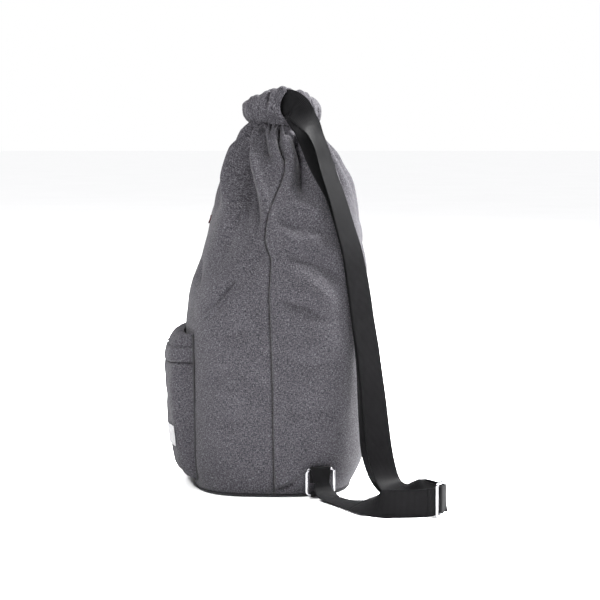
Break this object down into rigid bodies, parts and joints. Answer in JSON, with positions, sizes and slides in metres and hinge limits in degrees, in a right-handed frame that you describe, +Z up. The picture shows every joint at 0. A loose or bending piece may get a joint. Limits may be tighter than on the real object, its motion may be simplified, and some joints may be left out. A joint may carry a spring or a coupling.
{
  "type": "sling bag",
  "caption": "Gathered fabric bucket bag with a drawstring neck of webbing, a boxed front pocket and one shoulder strap held by a metal ring and a strap slide.",
  "frame": {"origin": "middle of the base, on the surface it stands on", "axes": "+Z up; the pocket side faces -Y; the strap leaves the neck on the +X side"},
  "size_m": [0.3945, 0.3304, 0.4873],
  "materials": {
    "grey_cloth": "grey melange canvas, crossed weave, matt",
    "base_cloth": "black coated base cloth",
    "board": "plain stiffener board",
    "lining_cloth": "thin dark plain-weave lining",
    "webbing": "black ribbed webbing with a low sheen",
    "piping": "dark corded edge",
    "label": "blank pale woven label",
    "tag": "dark red folded tag",
    "chrome": "polished nickel or chrome plate"
  },
  "bodies": {
    "bag": {"front_panel": "grey_cloth", "back_panel": "grey_cloth", "base_panel": "base_cloth", "base_board": "board", "lining": "lining_cloth", "channel_front": "grey_cloth", "channel_back": "grey_cloth", "channel_webbing": "webbing", "pocket_front": "grey_cloth", "pocket_hem": "grey_cloth", "pocket_gusset_right": "grey_cloth", "pocket_gusset_left": "grey_cloth", "pocket_piping": "piping", "pocket_label": "label", "side_tag": "tag", "ring_tab": "webbing", "strap_outer": "webbing", "strap_inner": "webbing", "strap_lower": "webbing"},
    "ring": {"strap_ring": "chrome", "ring_wrap": "webbing"},
    "slide": {"strap_slide": "chrome", "slide_wrap": "webbing"}
  },
  "joints": [
    {"name": "ring_swing", "type": "hinge", "parent": "bag", "child": "ring", "pos_m": [0.13133, 0.05149, 0.0052], "axis": [-0.3564, 0.9343, 0], "range_deg": [0, 88], "deforming": ["strap_lower"]},
    {"name": "slide_travel", "type": "slide", "parent": "bag", "child": "slide", "axis": [0.1197, -0.9928, 0], "range_m": [-0.006, 0.03], "deforming": ["strap_outer", "strap_inner"]}
  ]
}
